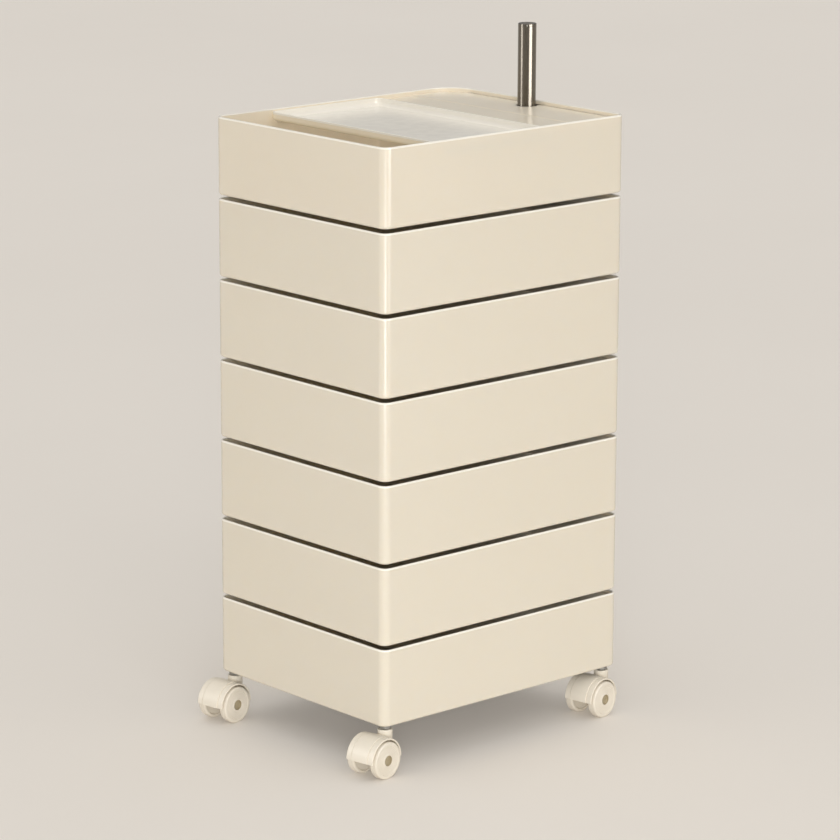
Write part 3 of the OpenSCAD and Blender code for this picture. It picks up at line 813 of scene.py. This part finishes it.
acetal = new_finish("white_acetal", 0.38)
two_tones(acetal, cloud(acetal, 40), ACETAL, ACETAL_DEEP)
uneven_gloss(acetal, cloud(acetal, 200), 0.3, 0.46)
surface_grain(acetal, cloud(acetal, 1400), 0.00004, 0.25)


def ring_on_post(node, name, body, section):
    """A turned ring on the post, with its heights from the foot of the CAD node that it stands for."""
    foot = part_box(node)[0].z
    ring = bmesh.new()
    turned(ring, section, BUSH_STEPS)
    set_in_place(ring, (post_axis.x, post_axis.y, foot))
    make_piece(ring, name, [acetal], body, [node])


BUSH_LENGTH = 14.0
SLIDING_GAP = 0.05
plain_bush = [
    (BUSH_BORE, 0, 0.4), (BUSH_RADIUS, 0, 0.4), (BUSH_RADIUS, BUSH_LENGTH, 0.4),
    (BUSH_BORE, BUSH_LENGTH, 0.4),
]
flanged_bush = [
    (BUSH_BORE, SLIDING_GAP, 0.4), (FLANGE_RADIUS, SLIDING_GAP, 0.5), (FLANGE_RADIUS, FLANGE, 0.5),
    (BUSH_RADIUS, FLANGE, 0.2), (BUSH_RADIUS, FLANGE + BUSH_LENGTH, 0.4),
    (BUSH_BORE, FLANGE + BUSH_LENGTH, 0.4),
]
SPACER_HEIGHT = 8.0
spacer = [
    (SPACER_BORE, 0, 0.3), (SPACER_RADIUS, 0, 0.5), (SPACER_RADIUS, SPACER_HEIGHT, 0.5),
    (SPACER_BORE, SPACER_HEIGHT, 0.3),
]
LEVEL_BODIES = ["base", "tray_2", "tray_3", "tray_4", "tray_5", "tray_6", "top_tray"]
ring_on_post("base_bush", "base_bush_ring", "base", plain_bush)
for level in range(2, 8):
    ring_on_post(f"lower_bush_{level}", f"flanged_bush_{level}", LEVEL_BODIES[level - 1], flanged_bush)
    ring_on_post(f"upper_bush_{level}", f"plain_bush_{level}", LEVEL_BODIES[level - 1], plain_bush)
for level in range(1, 7):
    ring_on_post(f"spacer_ring_{level}", f"spacer_{level}", LEVEL_BODIES[level - 1], spacer)

# ---- Pen tray ----
# A shallow moulding of the same ABS that rests on three ledges inside the top tray and lifts out. Its paler
# cream is painted light, as pale as the painted insides of the trays, and its lip takes the rims' painted
# highlight. Its walls are thin, with a round lip, and its floor runs up into them on a soft radius.

PEN_LENGTH = 192.5
PEN_WIDTH = 335.0
PEN_HEIGHT = 12.0
PEN_WALL = 1.8
PEN_CORNER = 9.0
PEN_EDGE = 5.0
PEN_COVE = 6.0
PEN_LIP_BAND = 1.8
PEN_CREAM = (0.91, 0.815, 0.65)
PEN_CREAM_DEEP = (0.90, 0.80, 0.635)

# The paler cream is painted light, like the insides of the trays
pen_abs = new_finish("satin_pale_cream_abs", 0.25)
two_tones(pen_abs, cloud(pen_abs, 5, 2), PEN_CREAM, PEN_CREAM_DEEP)
uneven_gloss(pen_abs, cloud(pen_abs, 18, 2), 0.24, 0.27)
surface_grain(pen_abs, cloud(pen_abs, 1200, 2), 0.00003, 0.1)
lets_light_in(pen_abs, 0.3, ABS_DEPTH, ABS_SPREAD)

pen_tray = bmesh.new()
plan = rounded_plate(pen_tray, PEN_LENGTH, PEN_WIDTH, (PEN_CORNER,) * 4, 12)
bmesh.ops.translate(pen_tray, vec=(0, 0, PEN_EDGE), verts=pen_tray.verts[:])
lifted = bmesh.ops.extrude_face_region(pen_tray, geom=[plan], use_keep_orig=True)["geom"]
lip = next(part for part in lifted if isinstance(part, bmesh.types.BMFace))
foot = next(f for f in pen_tray.faces if f != lip and len(f.verts) > 4)
half_lip = PEN_WALL / 2
band_foot = PEN_HEIGHT - half_lip - PEN_LIP_BAND
bmesh.ops.translate(pen_tray, vec=(0, 0, band_foot - PEN_EDGE), verts=lip.verts[:])
arc_in(pen_tray, foot, PEN_EDGE, 0, pi / 2, COVE_STEPS, up=-1)
lip = draw_in(pen_tray, lip, 0, PEN_LIP_BAND)
lip = arc_in(pen_tray, lip, half_lip, 0, pi, RIM_STEPS)
mark_rim_highlight(pen_tray, band_foot)
lip = draw_in(pen_tray, lip, 0, PEN_WALL + PEN_COVE - (PEN_HEIGHT - half_lip))
arc_in(pen_tray, lip, PEN_COVE, 0, pi / 2, COVE_STEPS, up=-1)
set_in_place(pen_tray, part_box("pen_tray")[0])
pen_piece = make_piece(
    pen_tray, "pen_tray_moulding", [pen_abs, rim_highlight_abs], "pen_tray", ["pen_tray"]
)
# It throws no shadow, to stand for the daylight that comes through its thin floor into the pan
pen_piece.visible_shadow = False

# ---- Studio ----
# A plain pale floor that glows a little, in a pale room, with wide lights above and before the tower and
# soft boxes and a dark card for its corner and its reflections. The camera looks down on the near corner
# with a long lens, as in the photograph.

FLOOR_PALE = (0.73, 0.69, 0.635)
FLOOR_DEEP = (0.715, 0.675, 0.62)
FLOOR_GLOW = (1.0, 0.925, 0.84, 1)
FLOOR_GLOW_STRENGTH = 0.13
FLOOR_RADIUS = 60.0
LAMP_TARGET = Vector((0, 0, 0.5))
CARD_WIDTH = 1.3
CARD_HEIGHT = 1.7
CARD_ANGLE = radians(219)
CARD_DISTANCE = 1.4
CARD_MIDDLE = 1.75
CARD_BLACK = (0.012, 0.011, 0.010)
CARD_BLACK_DEEP = (0.008, 0.008, 0.008)
ROOM_WHITE = (1.0, 0.98, 0.95, 1)
ROOM_STRENGTH = 0.33

floor_paint = new_finish("pale_floor", 0.7, specular=0.2)
two_tones(floor_paint, cloud(floor_paint, 0.6, 2), FLOOR_PALE, FLOOR_DEEP)
uneven_gloss(floor_paint, cloud(floor_paint, 3), 0.65, 0.8)
floor_shader = floor_paint.node_tree.nodes["Principled BSDF"]
floor_shader.inputs["Emission Color"].default_value = FLOOR_GLOW
floor_shader.inputs["Emission Strength"].default_value = FLOOR_GLOW_STRENGTH

ground = bmesh.new()
bmesh.ops.create_circle(ground, cap_ends=True, radius=FLOOR_RADIUS, segments=64)
ground_mesh = bpy.data.meshes.new("floor")
ground.to_mesh(ground_mesh)
ground.free()
ground_mesh.materials.append(floor_paint)
studio_floor = bpy.data.objects.new("floor", ground_mesh)
bpy.context.scene.collection.objects.link(studio_floor)


def soft_box(name, azimuth, distance, height, size, radiance, colour):
    """A soft lamp that faces the tower, at an angle round from +X, with the brightness of its own face."""
    lamp = bpy.data.lights.new(name, "AREA")
    lamp.shape = "RECTANGLE"
    lamp.size, lamp.size_y = size
    lamp.energy = radiance * pi * size[0] * size[1]
    lamp.color = colour
    stand = bpy.data.objects.new(name, lamp)
    place = Vector((distance * cos(radians(azimuth)), distance * sin(radians(azimuth)), height))
    stand.location = place
    stand.rotation_euler = (LAMP_TARGET - place).to_track_quat("-Z", "Y").to_euler()
    stand.visible_camera = False
    bpy.context.scene.collection.objects.link(stand)
    return stand


COOL_WHITE = (0.90, 0.95, 1.0)
NEUTRAL_WHITE = (1.0, 0.99, 0.985)
corner_box = soft_box("corner_box", 228.4, 2.4, 0.16, (0.52, 0.3), 23.0, COOL_WHITE)

# These two are seen only in reflections: they draw the light bands down the post
left_box = soft_box("left_box", 156, 3.0, 1.3, (1.1, 1.8), 5.6, NEUTRAL_WHITE)
left_box.visible_diffuse = False
streak_box = soft_box("streak_box", 277, 2.5, 1.3, (1.6, 2.0), 9.5, NEUTRAL_WHITE)
streak_box.visible_diffuse = False

# The low box is for the plastic corner, and is kept off the post
kept_dark = bpy.data.collections.new("kept_dark")
kept_dark.objects.link(post_piece)
corner_box.light_linking.receiver_collection = kept_dark
for member in kept_dark.collection_objects:
    member.light_linking.link_state = "EXCLUDE"


def wide_light(name, way, strength, spread):
    """A wide lamp far away, which shines along a direction. Its spread in degrees softens its shadows."""
    lamp = bpy.data.lights.new(name, "SUN")
    lamp.energy = strength * pi
    lamp.angle = radians(spread)
    lamp.color = NEUTRAL_WHITE
    stand = bpy.data.objects.new(name, lamp)
    stand.rotation_euler = Vector(way).to_track_quat("-Z", "Y").to_euler()
    bpy.context.scene.collection.objects.link(stand)
    return stand


key_light = wide_light("key_light", (0.453, 0.785, -0.423), 0.19, 50)
key_light.visible_glossy = False
front_light = wide_light("front_light", (0.646, 0.726, -0.235), 0.20, 16)
front_light.visible_glossy = False
wide_light("overhead_light", (0, 0, -1), 0.34, 100)

# A dark card, seen only in reflections: it draws the dark band down the post
flag = bmesh.new()
bmesh.ops.create_grid(flag, x_segments=1, y_segments=1, size=0.5)
bmesh.ops.scale(flag, vec=(CARD_WIDTH, CARD_HEIGHT, 1), verts=flag.verts[:])
bmesh.ops.rotate(flag, cent=(0, 0, 0), matrix=Matrix.Rotation(pi / 2, 3, "X"), verts=flag.verts[:])
facing = Matrix.Rotation(CARD_ANGLE - radians(270), 3, "Z")
bmesh.ops.rotate(flag, cent=(0, 0, 0), matrix=facing, verts=flag.verts[:])
card_way = Vector((cos(CARD_ANGLE), sin(CARD_ANGLE), 0))
card_place = post_axis * Vector((1, 1, 0)) + card_way * CARD_DISTANCE + Vector((0, 0, CARD_MIDDLE))
bmesh.ops.translate(flag, vec=card_place, verts=flag.verts[:])
flag_mesh = bpy.data.meshes.new("dark_flag")
flag.to_mesh(flag_mesh)
flag.free()
flag_cloth = new_finish("black_cloth", 0.9, specular=0.0)
two_tones(flag_cloth, cloud(flag_cloth, 30), CARD_BLACK, CARD_BLACK_DEEP)
flag_mesh.materials.append(flag_cloth)
dark_flag = bpy.data.objects.new("dark_flag", flag_mesh)
dark_flag.visible_camera = False
dark_flag.visible_diffuse = False
dark_flag.visible_shadow = False
bpy.context.scene.collection.objects.link(dark_flag)

room = bpy.data.worlds.new("pale_room")
room.use_nodes = True
room.node_tree.nodes["Background"].inputs["Color"].default_value = ROOM_WHITE
room.node_tree.nodes["Background"].inputs["Strength"].default_value = ROOM_STRENGTH
bpy.context.scene.world = room
bpy.context.scene.view_settings.view_transform = "Standard"

# The camera's place and angles were fitted to the edges of the tower in the photograph
SENSOR = 36
FOCAL_SHARE = 3733 / 840
CAMERA_PLACE = Vector((-3.2410, -3.6589, 1.602))
YAW, PITCH, ROLL = radians(48.312), radians(13.618), radians(0.211)
ahead = Vector((cos(YAW) * cos(PITCH), sin(YAW) * cos(PITCH), -sin(PITCH)))
level_right = Vector((sin(YAW), -cos(YAW), 0))
level_up = level_right.cross(ahead)
right = cos(ROLL) * level_right + sin(ROLL) * level_up
up = -sin(ROLL) * level_right + cos(ROLL) * level_up

lens = bpy.data.cameras.new("camera")
lens.lens = FOCAL_SHARE * SENSOR
lens.sensor_width = SENSOR
camera = bpy.data.objects.new("camera", lens)
turned_camera = Matrix((right, up, -ahead)).transposed().to_4x4()
camera.matrix_world = Matrix.Translation(CAMERA_PLACE) @ turned_camera
bpy.context.scene.collection.objects.link(camera)
bpy.context.scene.camera = camera
